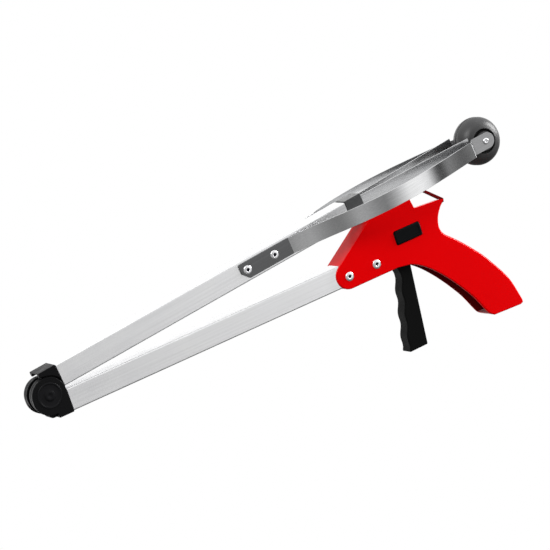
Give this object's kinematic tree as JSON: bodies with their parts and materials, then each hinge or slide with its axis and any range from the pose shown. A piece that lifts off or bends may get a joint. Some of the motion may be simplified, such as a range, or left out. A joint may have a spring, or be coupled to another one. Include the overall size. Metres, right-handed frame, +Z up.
{
  "type": "folding reacher grabber",
  "caption": "Folding pick-up tool: square tubes joined by a pivot, pistol handle with trigger and lock, spring steel jaws with round rubber cups.",
  "frame": {"origin": "where the web of the hand meets the back of the handle, on the lower tube's axis in the tool's middle plane", "axes": "+X from the fold hinge along the lower tube to the handle, +Z up towards the folded upper arm, +Y from the lock button's side to the far side"},
  "size_m": [0.485, 0.077, 0.1695],
  "materials": {
    "red_plastic": "satin moulded",
    "black_plastic": "fine textured",
    "aluminium_tube": "satin anodised",
    "spring_steel": "brushed",
    "steel_hardware": "bright",
    "spring_wire": "plain",
    "cup_rubber": "matt",
    "block_plastic": "moulded"
  },
  "bodies": {
    "lower_frame": {"lower_tube": "aluminium_tube", "handle_shell": "red_plastic", "handle_rivet_front": "steel_hardware", "handle_rivet_rear": "steel_hardware", "trigger_pin": "steel_hardware", "trigger_spring": "spring_wire", "lower_rod_guide": "block_plastic", "hinge_lower_half": "black_plastic", "hinge_pin": "steel_hardware", "hinge_cap_far": "black_plastic", "pull_cable": "spring_wire", "hinge_button_spring": "spring_wire"},
    "trigger": {"trigger": "black_plastic"},
    "lock_button": {"lock_button": "black_plastic"},
    "lower_pull_rod": {"lower_pull_rod": "steel_hardware", "rod_end_pin": "steel_hardware", "lower_ferrule": "steel_hardware"},
    "cable_pulley": {"cable_pulley": "block_plastic"},
    "upper_frame": {"hinge_upper_half": "black_plastic", "upper_tube": "aluminium_tube", "upper_rod_guide": "block_plastic", "near_strip_root": "spring_steel", "far_strip_root": "spring_steel", "jaw_rivet_rear": "steel_hardware", "jaw_rivet_front": "steel_hardware"},
    "pull_block": {"upper_pull_rod": "steel_hardware", "upper_ferrule": "steel_hardware", "pull_block": "block_plastic", "link_pin_near": "steel_hardware", "link_pin_far": "steel_hardware"},
    "near_pull_strip": {"near_pull_strip": "spring_steel"},
    "far_pull_strip": {"far_pull_strip": "spring_steel"},
    "near_jaw": {"near_strip_blade": "spring_steel", "near_cup": "cup_rubber", "near_cup_rivet": "steel_hardware", "near_cup_washer": "steel_hardware"},
    "far_jaw": {"far_strip_blade": "spring_steel", "far_cup": "cup_rubber", "far_cup_rivet": "steel_hardware", "far_cup_washer": "steel_hardware"},
    "hinge_button": {"hinge_button": "black_plastic"}
  },
  "joints": [
    {"name": "fold", "type": "hinge", "parent": "lower_frame", "child": "upper_frame", "pos_m": [-0.384, 0, 0.01015], "axis": [0, -1, 0], "range_deg": [0, 174.64], "deforming": ["pull_cable"]},
    {"name": "trigger_squeeze", "type": "hinge", "parent": "lower_frame", "child": "trigger", "pos_m": [-0.044, 0, 0.026], "axis": [0, -1, 0], "range_deg": [-13.5, 0]},
    {"name": "lock_push", "type": "slide", "parent": "lower_frame", "child": "lock_button", "axis": [0, 1, 0], "range_m": [0, 0.003]},
    {"name": "lower_rod_slide", "type": "slide", "parent": "lower_frame", "child": "lower_pull_rod", "axis": [1, 0, 0], "range_m": [-0.0052, 0]},
    {"name": "pulley_turn", "type": "hinge", "parent": "lower_frame", "child": "cable_pulley", "pos_m": [-0.384, 0, 0.01015], "axis": [0, -1, 0], "range_deg": [-56, 0]},
    {"name": "button_push", "type": "slide", "parent": "lower_frame", "child": "hinge_button", "axis": [0, 1, 0], "range_m": [0, 0.0009], "stiffness_N_per_m": 800, "deforming": ["hinge_button_spring"]},
    {"name": "block_slide", "type": "slide", "parent": "upper_frame", "child": "pull_block", "axis": [0.9956, 0, 0.0934], "range_m": [0, 0.0052]},
    {"name": "near_link", "type": "hinge", "parent": "pull_block", "child": "near_pull_strip", "pos_m": [-0.06635, -0.0038, 0.05015], "axis": [-0.0934, 0, 0.9956], "range_deg": [-17, 0]},
    {"name": "far_link", "type": "hinge", "parent": "pull_block", "child": "far_pull_strip", "pos_m": [-0.06635, 0.0038, 0.05015], "axis": [-0.0934, 0, 0.9956], "range_deg": [0, 17]},
    {"name": "near_jaw_flex", "type": "hinge", "parent": "upper_frame", "child": "near_jaw", "pos_m": [-0.14089, -0.01002, 0.04315], "axis": [-0.0934, 0, 0.9956], "range_deg": [-10, 0]},
    {"name": "far_jaw_flex", "type": "hinge", "parent": "upper_frame", "child": "far_jaw", "pos_m": [-0.14089, 0.01002, 0.04315], "axis": [-0.0934, 0, 0.9956], "range_deg": [0, 10]}
  ],
  "couplings": [
    {"joint": "lower_rod_slide", "follows": "trigger_squeeze", "m_per_rad": 0.0216},
    {"joint": "pulley_turn", "follows": "trigger_squeeze", "ratio": 4.0374},
    {"joint": "block_slide", "follows": "trigger_squeeze", "m_per_rad": -0.0216},
    {"joint": "near_link", "follows": "trigger_squeeze", "ratio": 1.2333},
    {"joint": "far_link", "follows": "trigger_squeeze", "ratio": -1.2333},
    {"joint": "near_jaw_flex", "follows": "trigger_squeeze", "ratio": 0.7281},
    {"joint": "far_jaw_flex", "follows": "trigger_squeeze", "ratio": -0.7281}
  ]
}
